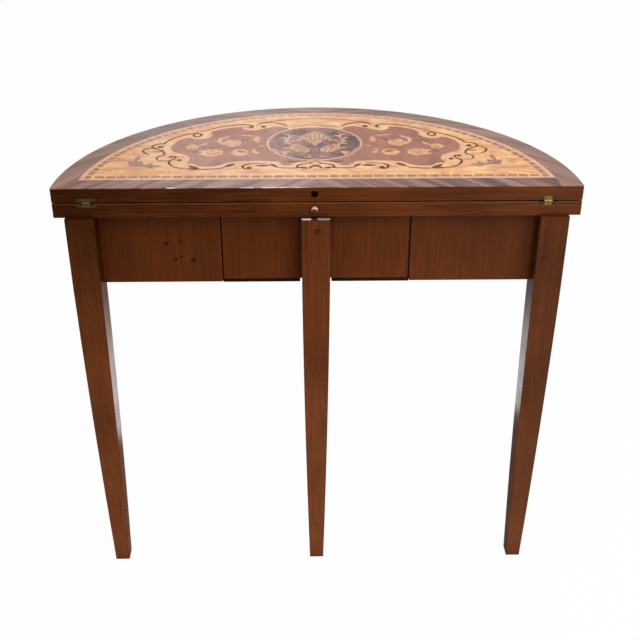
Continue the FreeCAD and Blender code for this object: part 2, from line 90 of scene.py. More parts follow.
class Nodes:
    """A node tree, with short ways to add to it."""

    def __init__(self, tree):
        self.tree = tree

    def fill(self, node, inputs):
        """A node's inputs, set to values or linked to sockets."""
        for key, value in inputs.items():
            if isinstance(value, bpy.types.NodeSocket):
                self.tree.links.new(value, node.inputs[key])
            else:
                node.inputs[key].default_value = value

    def add(self, kind, inputs, **settings):
        """A new node with its inputs and settings."""
        node = self.tree.nodes.new("ShaderNode" + kind)
        for key, value in settings.items():
            setattr(node, key, value)
        self.fill(node, inputs)
        return node

    def calc(self, operation, first, *others):
        """Values joined by an operation, one after another."""
        for other in others or (0,):
            first = self.add("Math", {0: first, 1: other}, operation=operation).outputs[0]
        return first

    def times(self, *values):
        return self.calc("MULTIPLY", *values)

    def weighted(self, *terms):
        """The sum of values, each given as (value, weight)."""
        return self.calc("ADD", *[self.times(*term) for term in terms])

    def off_line(self, value, line):
        """How far a value lies from a line, on either side."""
        return self.calc("ABSOLUTE", self.calc("SUBTRACT", value, line))

    def spread(self, value, span, to=(0, 1), smooth=False):
        """A value moved from one span to another and held inside it."""
        return self.add("MapRange", {"Value": value, "From Min": span[0], "From Max": span[1],
                                     "To Min": to[0], "To Max": to[1]},
                        interpolation_type="SMOOTHSTEP" if smooth else "LINEAR").outputs[0]

    def blend(self, share, first, second):
        """Two colours mixed by a share."""
        first, second = (tone if isinstance(tone, bpy.types.NodeSocket) else colour(*tone)
                         for tone in (first, second))
        return self.add("Mix", {"Factor": share, 6: first, 7: second}, data_type="RGBA").outputs[2]

    def stain(self, tone, value, span, share, second):
        """A tone that turns to a second colour, up to a share, while a value crosses a span."""
        return self.blend(self.spread(value, span, (0, share)), tone, second)

    def noise(self, vector, scale, detail=3, rough=0.55, distort=0, output="Fac"):
        return self.add("TexNoise", {"Vector": vector, "Scale": scale, "Detail": detail,
                                     "Roughness": rough, "Distortion": distort}).outputs[output]

    def place(self):
        """The point's place in the table's own frame."""
        return self.add("TexCoord", {}).outputs["Object"]

    def facing(self):
        """The normal of the surface."""
        return self.add("NewGeometry", {}).outputs["Normal"]

    def path(self, kind):
        """One for a kind of ray, nought for others."""
        return self.add("LightPath", {}).outputs[f"Is {kind} Ray"]

    def axes(self, vector):
        """A vector's X, Y and Z."""
        return self.add("SeparateXYZ", {"Vector": vector}).outputs

    def vector(self, operation, first, second, output=0):
        return self.add("VectorMath", {0: first, 1: second}, operation=operation).outputs[output]

    def distance(self, at, point):
        return self.vector("DISTANCE", at, point, "Value")

    def stretched(self, vector, scale, turn=0):
        """The place squeezed along each axis, so that a noise on it is drawn out into grain."""
        return self.add("Mapping", {"Vector": vector, "Scale": scale,
                                    "Rotation": (0, 0, turn)}).outputs["Vector"]

    def worn_edge(self, reach):
        """One along the arrises, nought on the flats."""
        rounded = self.add("Bevel", {"Radius": reach}, samples=4).outputs["Normal"]
        likeness = self.vector("DOT_PRODUCT", rounded, self.facing(), "Value")
        return self.spread(likeness, ARRIS_LIKENESS)

    def corner_grime(self, reach):
        """Painted shade: one deep in corners, gaps and under the overhang, nought in the open."""
        open_share = self.add("AmbientOcclusion", {"Distance": reach}, samples=6).outputs["AO"]
        return self.spread(open_share, CORNER_OPEN)


def begin(name, specular=0.5):
    """A new material with its nodes and its shader."""
    material = bpy.data.materials.new(name)
    material.use_nodes = True
    n = Nodes(material.node_tree)
    shader = n.tree.nodes["Principled BSDF"]
    n.fill(shader, {"Specular IOR Level": specular})
    return material, n, shader


def close(n, shader, tone, rough, height, bump, depth):
    """Colour, roughness and bump onto the shader."""
    relief = n.add("Bump", {"Strength": bump, "Distance": depth, "Height": height}).outputs["Normal"]
    n.fill(shader, {"Base Color": tone, "Roughness": rough, "Normal": relief})


# The span that most of a noise lies in.
MOST = (0.3, 0.7)

# Woods: how the place is squeezed for grain along each axis.
GRAIN_SCALE = {"X": (0.022, 1, 1), "Y": (1, 0.022, 1), "Z": (1, 1, 0.022)}
# Scales of the hairs, bands, clouds and pores of the grain, the weights of the first three, and how
# far their sum strays from its middle.
HAIR_SCALE = 560
BAND_SCALE = 230
CLOUD_SCALE = 6
PORE_SCALE = 952
GRAIN_WEIGHTS = (0.45, 0.2, 0.35)
GRAIN_STRAY = 0.14
HAIR_RELIEF = 0.4
# The share of the paler tones, painted light, at the foot of a leg.
FOOT_SHARE = 0.75
# Small marks: the scale and reach of their wandering outlines, the share of a mark that is full, and
# how dark and how deep they are.
MARK_WANDER = 190
MARK_DRIFT = 0.009
MARK_CORE = 0.45
MARK_SHARE = 0.72
MARK_DEPTH = 3
# A painted highlight on an arris of the straight side: its height and its depth from full to faded, and its
# share.
RUBBED_HEIGHT = (0.0008, 0.0018)
RUBBED_DEPTH = (BACK + 0.0008, BACK + 0.0016)
RUBBED_SHARE = 0.7
# Painted shade along gaps: the share of its half width that is full, and how dark it is.
SEAM_CORE = 0.6
SEAM_SHARE = 0.9
# Where the painted shade grows to the left and upwards, and the painted veil of reflection to the right.
DUSK_ACROSS = (-0.08, -0.42)
DUSK_UP = (0.52, 0.66)
HAZE_ACROSS = (0, 0.30)
# Painted shade on the legs' inner sides beside the rails: how dark it is on the left and on the right,
# from one x to the other, and the height over which it grows.
INSIDE_SHARES = (0.65, 0.15)
INSIDE_ACROSS = (-0.1, 0.1)
INSIDE_RISE = 0.004


def marks_on(n, at, marks):
    """One inside each small uneven mark, given as (x, y, z, radius)."""
    wander = n.noise(at, MARK_WANDER, detail=2, rough=0.5, output="Color")
    drift = n.vector("SUBTRACT", wander, (0.5, 0.5, 0.5))
    drift = n.vector("MULTIPLY", drift, [MARK_DRIFT] * 3)
    uneven = n.vector("ADD", at, drift)
    return n.calc("MAXIMUM", *[
        n.spread(n.distance(uneven, (x, y, z)), (radius, radius * MARK_CORE), smooth=True)
        for x, y, z, radius in marks])


def wood(name, dark, light, deep, grain="Z", specular=0.04, rough=(0.30, 0.44), contrast=1, pore=0.3,
         wear=None, arris=0.0016, rubbed_share=0.7, grime=0, grime_reach=0.026, dusk=0, haze=None,
         marks=(), seams=(), paler_below=None, pale_arris=None, dark_inside=None):
    """A polished wood: fine grain, broader streaks, slow changes of tone, pores, worn arrises, painted shade
    in corners, gaps and under the overhang.

    The arris colour is rubbed wear on most pieces, partly a painted highlight on the edge strips, and
    painted shade on the legs. The dusk share is painted shade on the upper left, and the veil (share,
    colour) a painted reflection on the right. The gap lines are upright lines of painted shade, as (x, half
    width). The foot light is (top, foot, dark, light): the grain fades to paler tones, as painted light,
    from one height down to the other. The arris highlight is the height of an arris of the straight side
    with a painted highlight in the arris colour, and the inside shade a height above which the sides that
    face the table's middle get painted shade."""
    material, n, shader = begin(name, specular)
    at = n.place()
    x, y, z = n.axes(at)
    along = n.stretched(at, GRAIN_SCALE[grain])
    hair = n.noise(along, HAIR_SCALE, detail=4, rough=0.7)
    band = n.noise(along, BAND_SCALE, distort=0.4)
    cloud = n.noise(at, CLOUD_SCALE, detail=2)
    stray = GRAIN_STRAY / contrast
    figure = n.weighted(*zip((hair, band, cloud), GRAIN_WEIGHTS))
    figure = n.spread(figure, (0.5 - stray, 0.5 + stray))
    tone = n.blend(figure, dark, light)
    # Painted light: paler tones towards the foot.
    if paler_below:
        top, foot, pale_dark, pale_light = paler_below
        pale = n.blend(figure, pale_dark, pale_light)
        tone = n.stain(tone, z, (top, foot), FOOT_SHARE, pale)
    pores = n.spread(n.noise(along, PORE_SCALE, detail=2), (0.60, 0.72))
    tone = n.blend(n.times(pores, pore), tone, deep)
    relief = n.calc("SUBTRACT", n.times(hair, HAIR_RELIEF), pores)
    if marks:
        spots = marks_on(n, at, marks)
        tone = n.blend(n.times(spots, MARK_SHARE), tone, deep)
        relief = n.calc("SUBTRACT", relief, n.times(spots, MARK_DEPTH))
    # The arrises: rubbed wear on most pieces, partly a painted highlight on the edge strips, painted shade
    # on the legs.
    if wear:
        patches = n.spread(n.noise(at, 38, detail=4), (0.40, 0.62), (0.1, rubbed_share))
        tone = n.blend(n.times(n.worn_edge(arris), patches), tone, wear)
    # A painted highlight along one arris.
    if pale_arris:
        near = n.spread(n.off_line(z, pale_arris), RUBBED_HEIGHT, (1, 0))
        outer = n.spread(y, RUBBED_DEPTH, (RUBBED_SHARE, 0))
        tone = n.blend(n.times(near, outer), tone, wear)
    # Painted shade along gaps.
    for spot, half in seams:
        seam = n.spread(n.off_line(x, spot), (half * SEAM_CORE, half), (SEAM_SHARE, 0))
        tone = n.blend(seam, tone, deep)
    # Painted shade, growing to the left and upwards.
    if dusk:
        leftward = n.spread(x, DUSK_ACROSS, (0, dusk))
        upward = n.spread(z, DUSK_UP, smooth=True)
        tone = n.blend(n.times(leftward, upward), tone, deep)
    # A painted veil of reflection on the right.
    if haze:
        tone = n.stain(tone, x, HAZE_ACROSS, *haze)
    # Painted shade on the sides that face the table's middle.
    if dark_inside:
        facing = n.axes(n.facing())["X"]
        inward = n.spread(n.times(facing, x), (0.05, 0))
        sideways = n.spread(n.calc("ABSOLUTE", facing), (0.5, 0.8))
        raised = n.spread(z, (dark_inside, dark_inside + INSIDE_RISE))
        share = n.spread(x, INSIDE_ACROSS, INSIDE_SHARES)
        tone = n.blend(n.times(inward, sideways, raised, share), tone, deep)
    # Painted shade in corners, gaps and under the overhang.
    if grime:
        tone = n.blend(n.times(n.corner_grime(grime_reach), grime), tone, deep)
    polish = n.spread(n.noise(at, 26), MOST, rough)
    close(n, shader, tone, polish, relief, bump=0.2, depth=0.0002)
    return material


# Walnut: dark, light and deep tone, and the finish of most pieces: rubbed arrises, painted shade in corners
# and to the upper left, and a painted veil of reflection on the right.
WALNUT_TONES = ((70, 31, 8), (112, 56, 20), (34, 12, 3))
WALNUT_FINISH = {"wear": (138, 84, 48), "grime": 0.85, "dusk": 0.5, "haze": (0.12, (126, 84, 60))}


def walnut(name, lift=1, **settings):
    """Red-brown polished wood, lifted or deepened in tone."""
    tones = [[value * lift for value in tone] for tone in WALNUT_TONES]
    return wood(name, *tones, **{**WALNUT_FINISH, **settings})


# The peg's brown below its painted highlight: how far below the middle it is centred, where it ends and how
# far its edge wanders.
PEG_DROP = 0.0014
PEG_BROWN = (0.0040, 0.0050)
PEG_WANDER = 0.0004


def peg_end(name):
    """The peg: brown polished wood, with a painted highlight on its upper side."""
    material, n, shader = begin(name, specular=0.2)
    at = n.place()
    centre = middle("alignment_peg")
    level = n.vector("MULTIPLY", at, (1, 0, 1))
    gap = n.distance(level, (centre.x, 0, centre.z - PEG_DROP))
    hair = n.noise(n.stretched(at, GRAIN_SCALE["Y"]), 900)
    uneven = n.calc("ADD", gap, n.spread(hair, MOST, (-PEG_WANDER, PEG_WANDER)))
    tone = n.blend(n.spread(uneven, PEG_BROWN, smooth=True), (92, 42, 18), (232, 186, 160))
    close(n, shader, tone, n.spread(hair, MOST, (0.26, 0.4)), hair, bump=0.15, depth=0.0001)
    return material


VENEER_ROUGH = (0.22, 0.34)


def veneer(name, tone_of, specular=0.06):
    """A glossy inlaid wood whose colour is worked out by a function of the place."""
    material, n, shader = begin(name, specular)
    at = n.place()
    tone, figure = tone_of(n, at)
    polish = n.spread(n.noise(at, 24), MOST, VENEER_ROUGH)
    close(n, shader, tone, polish, figure, bump=0.1, depth=0.0001)
    return material


# Cross grain of the border on the arc and on the straight side: slant of the stripes, scale of the
# broad stripes and of the hairs, dark and light tone.
ARC_GRAIN = (2.4, 44, 230, (116, 80, 66), (168, 128, 112))
EDGE_GRAIN = (0.9, 40, 420, (110, 72, 62), (164, 124, 112))
# Where the arc's painted shade is darkest, in radians from the right end, and how far off it is full and
# has faded.
ARC_DUSK = 2.3
ARC_DUSK_REACH = (0.1, 0.42)
# Where the straight side's stripes darken to the right.
EDGE_DUSK = (-0.05, 0.25)
# Places where the top's straight arris has painted glints, as (x, half length) in millimetres, the share
# of that length that is full, and the depth from the arris.
ARRIS_GLINTS = ((-225, 9), (-70, 62))
GLINT_CORE = 0.5
GLINT_DEPTH = (0.0018, 0.0005)


def crossband_tone(turning):
    """Mauve-brown grain: slanting stripes that follow the arc, with painted shade on part of it, or lean to
    the middle of the straight side, where they are darker to the right and the arris has painted glints in
    places."""
    def tone_of(n, at):
        lean, wide, fine, dark, light = ARC_GRAIN if turning else EDGE_GRAIN
        across, y, _ = n.axes(at)
        inward = n.calc("SUBTRACT", y, BACK)
        run, depth = n.calc("ABSOLUTE", across), inward
        if turning:
            run = n.times(LEAF_RADIUS, n.calc("ARCTAN2", inward, run))
            depth = n.distance(at, (0, BACK, TOP))
        slant = n.calc("ADD", run, n.times(depth, lean))
        line = n.add("CombineXYZ", {"X": slant, "Y": n.times(across, 0.1)}).outputs[0]
        hair = n.noise(line, fine)
        share = n.weighted((n.noise(line, wide, distort=0.3), 0.75), (hair, 0.25))
        tone = n.blend(n.spread(share, (0.38, 0.62)), dark, light)
        tone = n.stain(tone, hair, (0.62, 0.74), 0.45, (78, 48, 40))
        if turning:
            # Painted shade on part of the arc.
            off = n.off_line(n.calc("ARCTAN2", inward, across), ARC_DUSK)
            dusk = n.spread(off, ARC_DUSK_REACH, (0.5, 0), smooth=True)
            return n.blend(dusk, tone, (84, 58, 50)), hair
        stripes = n.times(n.spread(across, EDGE_DUSK, smooth=True),
                          n.spread(share, (0.56, 0.44), (0.1, 0.8)))
        tone = n.blend(stripes, tone, (84, 50, 44))
        # Painted glints along the arris, in patches.
        glints = n.calc("MAXIMUM", *[
            n.spread(n.off_line(across, x * MM), (half * MM, half * GLINT_CORE * MM))
            for x, half in ARRIS_GLINTS])
        arris = n.spread(inward, GLINT_DEPTH)
        patches = n.spread(n.noise(at, 60), (0.38, 0.52), (0.2, 1))
        return n.blend(n.times(arris, patches, glints), tone, (246, 230, 214)), hair
    return tone_of


def field_tone(n, at):
    """Golden satin veneer: paler towards the middle, blotchy and warmer at the ends."""
    across = n.axes(at)["X"]
    ends = n.spread(n.calc("ABSOLUTE", across), (0.04, 0.30), (0, 0.5))
    cloud = n.noise(at, 15, detail=2, distort=0.4)
    warm = n.calc("ADD", ends, n.spread(cloud, (0.36, 0.64), (0, 0.5)))
    tone = n.blend(warm, (232, 182, 144), (234, 166, 104))
    flame = n.noise(n.stretched(at, (0.5, 1, 1), 0.35), 40, distort=1.2)
    tone = n.stain(tone, flame, (0.50, 0.62), 0.85, (252, 206, 140))
    tone = n.stain(tone, flame, (0.47, 0.34), 0.9, (210, 138, 98))
    tone = n.stain(tone, across, (-0.02, -0.30), 0.25, (176, 120, 84))
    hair = n.noise(n.stretched(at, (1, 0.05, 1), 0.2), 520)
    return n.stain(tone, hair, (0.52, 0.72), 0.28, (190, 114, 62)), hair


def cartouche_tone(n, at):
    """Rosy brown veneer with upright figure."""
    hair = n.noise(n.stretched(at, (1, 0.06, 1), 0.1), 420)
    cloud = n.noise(n.stretched(at, (1, 0.3, 1)), 24)
    tone = n.blend(n.spread(cloud, (0.34, 0.66)), (150, 88, 66), (176, 116, 92))
    return n.stain(tone, hair, (0.5, 0.74), 0.4, (124, 66, 50)), hair


def medallion_tone(n, at):
    """Dark grey-brown veneer, with a painted reflection paler to the left and painted shade darker to the
    right.
    """
    hair = n.noise(n.stretched(at, (1, 0.08, 1)), 420)
    cloud = n.noise(at, 34)
    tone = n.blend(n.spread(cloud, (0.36, 0.62)), (76, 46, 44), (150, 104, 92))
    tone = n.stain(tone, hair, (0.52, 0.74), 0.35, (54, 34, 34))
    # Painted reflection to the left, painted shade to the right.
    across = n.axes(at)["X"]
    tone = n.stain(tone, across, (0, -0.07), 0.2, (176, 132, 122))
    return n.stain(tone, across, (0, 0.07), 0.2, (54, 34, 34)), hair


def plain_tone(dark, light, scale=60):
    """A quiet veneer between two close tones."""
    def tone_of(n, at):
        hair = n.noise(n.stretched(at, (1, 0.15, 1), 0.4), 380)
        share = n.weighted((n.noise(at, scale, detail=2), 0.6), (hair, 0.4))
        return n.blend(n.spread(share, (0.36, 0.64)), dark, light), hair
    return tone_of


def dash_tone(n, at):
    """Brown dashes, much paler on the far side of the arc."""
    tone, hair = plain_tone((162, 106, 68), (196, 138, 94))(n, at)
    return n.stain(tone, n.axes(at)["Y"], (0.04, 0.16), 0.6, (224, 168, 124)), hair


# Metal and cloth: how softly the rubbed brass ends, and the share of brass that shines as metal.
RUB_BLUR = 0.0006
BRASS_METAL = 0.85
# The felt's right side turns brown, from one x to the other.
FELT_RUBBED = (-0.006, 0.004)
NAP_SHEEN = 0.2
NAP_SHEEN_ROUGH = 0.5


def brass(name, bright, dull, side):
    """Old brass, brown with tarnish, and rubbed bright on the middle third of the hinge."""
    material, n, shader = begin(name)
    at = n.place()
    patch = n.noise(at, 260, detail=4, rough=0.65)
    scratch = n.noise(n.stretched(at, (0.05, 1, 1)), 2600, detail=2)
    pin = f"hinge_pin_{side}"
    reach = (high(pin).x - low(pin).x) / 2
    off = n.off_line(n.axes(at)["X"], middle(pin).x)
    rubbed = n.spread(off, (reach - RUB_BLUR, reach + RUB_BLUR), (0.85, 0.1))
    share = n.times(rubbed, n.spread(patch, (0.32, 0.56), (0.3, 1)))
    rough = n.spread(patch, MOST, (0.50, 0.28))
    close(n, shader, n.blend(share, dull, bright), rough, scratch, bump=0.2, depth=0.0001)
    n.fill(shader, {"Metallic": BRASS_METAL})
    return material


def cloth(name, dark, light, fibre, soiled=None):
    """Short-napped woven cloth: crossing threads under a fine nap.

    The painted shade is (from, to, colour): the cloth darkens to the colour between two depths along y,
    under the leaf."""
    material, n, shader = begin(name, specular=0.1)
    at = n.place()
    weave = n.times(*[
        n.add("TexWave", {"Vector": at, "Scale": fibre, "Distortion": 1.2, "Detail": 1},
              bands_direction=direction).outputs["Fac"] for direction in "XY"])
    nap = n.noise(at, 900, detail=4, rough=0.7)
    share = n.weighted((nap, 0.6), (n.noise(at, 9), 0.4))
    tone = n.blend(n.spread(share, (0.36, 0.66)), dark, light)
    tone = n.blend(n.times(weave, 0.25), tone, dark)
    if soiled:
        x, y, _ = n.axes(at)
        tone = n.stain(tone, x, FELT_RUBBED, 0.65, (136, 84, 66))
        # Painted shade under the leaf.
        tone = n.stain(tone, y, soiled[:2], 1, soiled[2])
    rough = n.spread(nap, MOST, (0.85, 1))
    close(n, shader, tone, rough, n.calc("ADD", weave, nap), bump=0.5, depth=0.0004)
    n.fill(shader, {"Sheen Weight": NAP_SHEEN, "Sheen Roughness": NAP_SHEEN_ROUGH})
    return material


# Dents in the left rail and knots in the legs, as (x, z, radius) in millimetres.
RAIL_DENTS = ((-242, 648, 6), (-220, 653, 4.5), (-229, 621, 5.5), (-219, 625, 5), (-201, 618, 5.5))
LEG_KNOTS = ((-2, 678, 6), (357, 629, 3.2))
# Painted light towards the feet of the legs.
LEG_FADE = (0.70, 0.02, (118, 62, 32), (148, 84, 46))
# A greyer, darker painted veil on the right leg.
LEG_HAZE = (0.25, (64, 42, 30))
# Painted shade along the gaps beside the drawer front.
DRAWER_SEAMS = ((low("drawer_front").x, 0.0012), (high("drawer_front").x, 0.0022))
# Painted shade on the felt under the leaf.
FELT_SOIL = (LEG_BACK + 0.0025, LEG_BACK + 0.0038, (20, 12, 8))


def on_face(marks, y):
    """Marks in millimetres as (x, y, z, radius) on an upright face, in metres."""
    return [(x * MM, y, z * MM, radius * MM) for x, z, radius in marks]


# Rails: painted shade along the drawer's gaps and a little in corners.
rail_wood = walnut("rail_walnut", contrast=0.85, marks=on_face(RAIL_DENTS, RAIL_FACE), seams=DRAWER_SEAMS,
                   grime=0.45, grime_reach=0.007)
# Legs: painted light towards the feet, a painted veil on the right, painted shade on the inner sides and on
# the arrises, and a little painted shade in corners.
leg_wood = walnut("leg_walnut", contrast=1.15, marks=on_face(LEG_KNOTS, LEG_BACK), paler_below=LEG_FADE,
                  haze=LEG_HAZE, dark_inside=low("back_rail_left").z, specular=0.06, rough=(0.18, 0.30),
                  wear=(44, 20, 8), arris=0.004, rubbed_share=1, grime=0.15)
apron_wood = walnut("apron_walnut")
# Edge strips: a painted highlight on the lower strip's top arris.
edge_wood = walnut("edge_walnut", lift=0.95, grain="X", contrast=2, rubbed_share=0.9,
                   pale_arris=high("lower_edge_strip").z)
leaf_wood = walnut("leaf_walnut", lift=0.9, grain="X")
# The bearer is deepened in tone as painted shade under the drawer front.
bearer_wood = walnut("bearer_walnut", lift=0.45, grain="X")
oak = wood("bare_oak", (150, 108, 66), (196, 156, 108), (104, 70, 38), grain="Y", rough=(0.6, 0.8),
           specular=0.2, pore=0.5)
peg_wood = peg_end("peg_wood")
crossband_arc = veneer("crossband_on_arc", crossband_tone(True))
crossband_edge = veneer("crossband_on_edge", crossband_tone(False))
field_wood = veneer("field_satinwood", field_tone)
rosy_wood = veneer("cartouche_rosewood", cartouche_tone)
medallion_wood = veneer("medallion_dark", medallion_tone)
string_wood = veneer("stringing_pale", plain_tone((212, 158, 128), (232, 184, 154)))
dash_wood = veneer("dash_brown", dash_tone, specular=0.03)
line_wood = veneer("scroll_dark", plain_tone((84, 38, 6), (136, 78, 24)), specular=0.02)
band_wood = veneer("scroll_pale", plain_tone((222, 166, 126), (242, 192, 148)))
petal_wood = veneer("petal_pale", plain_tone((206, 140, 96), (240, 188, 138), 90))
warm_wood = veneer("petal_warm", plain_tone((206, 132, 92), (232, 166, 124), 90))
shade_wood = veneer("petal_shade", plain_tone((122, 66, 44), (164, 98, 66)))
spray_wood = veneer("spray_mauve", plain_tone((132, 96, 78), (186, 142, 114), 130))
gilt_wood = veneer("acanthus_gold", plain_tone((168, 112, 82), (224, 172, 136), 110))
dull_brass = brass("brass_dull", (116, 88, 50), (74, 52, 29), "left")
bright_brass = brass("brass_bright", (146, 116, 72), (58, 40, 26), "right")
baize = cloth("green_baize", (20, 52, 30), (44, 88, 52), 900)
felt = cloth("pale_felt", (222, 200, 190), (250, 238, 230), 1200, soiled=FELT_SOIL)


def sides(*names):
    """The nodes of both sides of the table."""
    return [f"{name}_{side}" for name in names for side in ("left", "right")]


FINISH = {
    rail_wood: sides("back_rail") + ["drawer_front"],
    leg_wood: sides("rear_leg") + ["front_leg", "gate_leg"],
    apron_wood: sides("curved_apron"),
    edge_wood: ["upper_edge_strip", "lower_edge_strip"],
    leaf_wood: ["upper_leaf", "lower_leaf"],
    bearer_wood: ["drawer_bearer"],
    oak: sides("drawer_side", "drawer_guide", "drawer_runner")
    + ["drawer_back", "drawer_bottom", "drawer_stops", "corner_blocks"],
    peg_wood: ["alignment_peg"],
    crossband_arc: ["crossband_arc"],
    crossband_edge: ["crossband_straight"],
    field_wood: ["field_veneer"],
    rosy_wood: ["cartouche_veneer"],
    medallion_wood: ["medallion_veneer"],
    string_wood: ["stringing", "medallion_ring"],
    dull_brass: ["hinge_lower_left", "hinge_upper_left", "hinge_pin_left"],
    bright_brass: ["hinge_lower_right", "hinge_upper_right", "hinge_pin_right"],
}
for finish, names in FINISH.items():
    for name in names:
        nodes[name].data.materials.clear()
        nodes[name].data.materials.append(finish)

# Arrises rounded by use, as a width in metres, where faces meet at more than an angle.
ROUNDED = {
    0.0010: sides("back_rail") + ["drawer_front", "drawer_bearer", "upper_edge_strip", "lower_edge_strip",
                                  "lower_leaf", "upper_leaf"],
    0.0005: sides("hinge_lower", "hinge_upper"),
}
ROUNDED_ANGLE = math.radians(40)
WELD_REACH = 0.00001
for width, names in ROUNDED.items():
    for name in names:
        weld = nodes[name].modifiers.new("weld", "WELD")
        weld.merge_threshold = WELD_REACH
        soften = nodes[name].modifiers.new("soften", "BEVEL")
        soften.width = width
        soften.segments = 2
        soften.limit_method = "ANGLE"
        soften.angle_limit = ROUNDED_ANGLE
        nodes[name].modifiers.new("even", "WEIGHTED_NORMAL")


# Meshes.
def put(name, data):
    """A new object in the scene."""
    thing = bpy.data.objects.new(name, data)
    bpy.context.scene.collection.objects.link(thing)
    return thing


def shaped(name, mesh, material):
    """A mesh with its material, as an object in the scene."""
    data = bpy.data.meshes.new(name)
    mesh.to_mesh(data)
    mesh.free()
    data.materials.append(material)
    return put(name, data)


def piece(name, mesh, material, body):
    """A mesh made into a piece that rides a body."""
    bmesh.ops.recalc_face_normals(mesh, faces=mesh.faces)
    thing = shaped(name, mesh, material)
    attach(thing, body)
    return thing


def skin(mesh, loops):
    """A closed form over a stack of loops of equal length."""
    mesh.faces.new(loops[0][::-1])
    mesh.faces.new(loops[-1])
    for below, above in zip(loops, loops[1:]):
        for i in range(len(below)):
            mesh.faces.new((below[i - 1], below[i], above[i], above[i - 1]))


# Marquetry.  Its points are (x, along) in millimetres on the top: x from the middle, along from
# the straight edge.  Each inlay is a thin closed plate, let into the veneer below it.
INLAY_SUNK = 0.0004
# How deep the petals of a flower are cut, as a share of its size, and the points of its outline.
PETAL_DEPTH = 0.06
BLOOM_COUNT = 48


def on_top(x, along, rise):
    return Vector((x * MM, BACK + along * MM, TOP + rise))


def mirrored(points):
    return [(-x, along) for x, along in points]


def smooth(points, closed=False, steps=6):
    """A smooth curve through the points."""
    count = len(points)
    curve = []
    for i in range(count if closed else count - 1):
        around = [j % count if closed else min(max(j, 0), count - 1) for j in range(i - 1, i + 3)]
        before, start, end, after = (Vector(points[j]) for j in around)
        for k in range(steps):
            t = k / steps
            curve.append(0.5 * (2 * start + (end - before) * t
                                + (2 * before - 5 * start + 4 * end - after) * t ** 2
                                + (3 * start - before - 3 * end + after) * t ** 3))
    if not closed:
        curve.append(Vector(points[-1]))
    return curve


def plate(mesh, outline, rise):
    """A closed flat inlay inside an outline."""
    skin(mesh, [[mesh.verts.new(on_top(x, along, level)) for x, along in outline]
                for level in (-INLAY_SUNK, rise)])


def ribbon(mesh, points, width, rise, tip=0.25):
    """A line inlaid along a smooth curve, full in its middle and thinner to its tips."""
    curve = smooth(points)
    last = len(curve) - 1
    rows = []
    for i, spot in enumerate(curve):
        run = (curve[min(i + 1, last)] - curve[max(i - 1, 0)]).normalized()
        share = tip + (1 - tip) * math.sin(math.pi * i / last) ** 0.5
        side = Vector((-run.y, run.x)) * width / 2 * share
        left, right = spot + side, spot - side
        corners = [(left, rise), (right, rise), (right, -INLAY_SUNK), (left, -INLAY_SUNK)]
        rows.append([mesh.verts.new(on_top(edge.x, edge.y, level)) for edge, level in corners])
    skin(mesh, rows)


def oval(centre, wide, long, count=20, petals=0):
    """An oval outline by its half width and half length, with shallow petals if it has any."""
    points = []
    for i in range(count):
        angle = 2 * math.pi * i / count
        reach = 1 - PETAL_DEPTH + PETAL_DEPTH * math.cos(petals * angle)
        points.append((centre[0] + wide * reach * math.cos(angle),
                       centre[1] + long * reach * math.sin(angle)))
    return points


def leaf_outline(base, tip, width, bend=0, count=8):
    """A pointed leaf from base to tip, bent sideways by a share of its length."""
    start, run = Vector(base), Vector(tip) - Vector(base)
    side = Vector((-run.y, run.x))
    spine = [start + run * i / count + side * bend * math.sin(math.pi * i / count) for i in range(count + 1)]
    half = [side.normalized() * width / 2 * math.sin(math.pi * i / count) ** 0.8 for i in range(count + 1)]
    left = [spine[i] + half[i] for i in range(1, count)]
    right = [spine[i] - half[i] for i in range(count - 1, 0, -1)]
    return [tuple(point) for point in [spine[0]] + left + [spine[-1]] + right]


# Each layer of inlay lies a hair over the one below, and so does each shape of one piece, in metres.
RISE_GROUND = 0.000006
RISE_RING = 0.000011
RISE_PANEL = 0.000016
RISE_LOW = 0.00002
RISE_MID = 0.00006
RISE_HIGH = 0.00012
RISE_TOP = 0.00016
RISE_STEP = 0.0000006
# Widths of the lines, in millimetres.
LINE_WIDTH = 4.2
THIN_LINE = 2.2
VEIN = 1.7
BAND_WIDTH = 8
STEM_WIDTH = 5.5
CURL_WIDTH = 7
LOW_WIDTH = 4.5

# Dark scroll lines of the right half, from the middle of the straight side outwards and round.
SCROLLS = [
    [(3, 101), (11, 104), (21, 102), (28, 97), (30, 90), (29, 85), (36, 84), (46, 84), (58, 85), (65, 90)],
    [(80, 107), (97, 106), (110, 103), (117, 96), (117, 88), (113, 81), (107, 80), (103, 84)],
    [(146, 89), (153, 84.5), (163, 82), (178, 80.5), (190, 81)],
    [(203, 81), (218, 85.5), (228, 92), (235, 101), (239, 112), (238, 121), (233, 128), (230, 134),
     (233, 141), (240, 141), (242, 136)],
    [(240, 123), (255, 122), (261, 131), (260, 140), (253, 147), (251, 153), (253, 162), (257, 170),
     (265, 177), (273, 183), (276, 192), (272, 201), (264, 205), (258, 206), (255, 214), (250, 224),
     (243, 235), (233, 246), (223, 254), (213, 260), (204, 267), (193, 276)],
    [(275, 150), (281, 155), (287, 163), (288.5, 172), (283, 180), (274, 185)],
    [(253, 165), (262, 165), (271, 165)],
    [(193, 276), (183, 283), (168, 294), (153, 301), (138, 306), (123, 308), (114, 304),
     (110, 297), (112, 290), (117, 292)],
    [(104, 303), (98, 311), (90, 317), (80, 319), (68, 316), (58, 310), (52, 302), (49, 296)],
    [(46, 119), (34, 113), (24, 117)],
]
FINE_LINES = [
    [(104, 314), (82, 324), (60, 332), (30, 339), (0, 341)],
    [(44, 293), (24, 301), (0, 303)],
]
# Dark eyes of the volutes, as (x, along, radius).
EYES = [(107, 86, 4.5), (223, 124, 4), (238, 138, 3.5), (262, 189, 5), (91, 296, 5), (112, 296, 3.5)]
EYE_SQUEEZE = 1.15
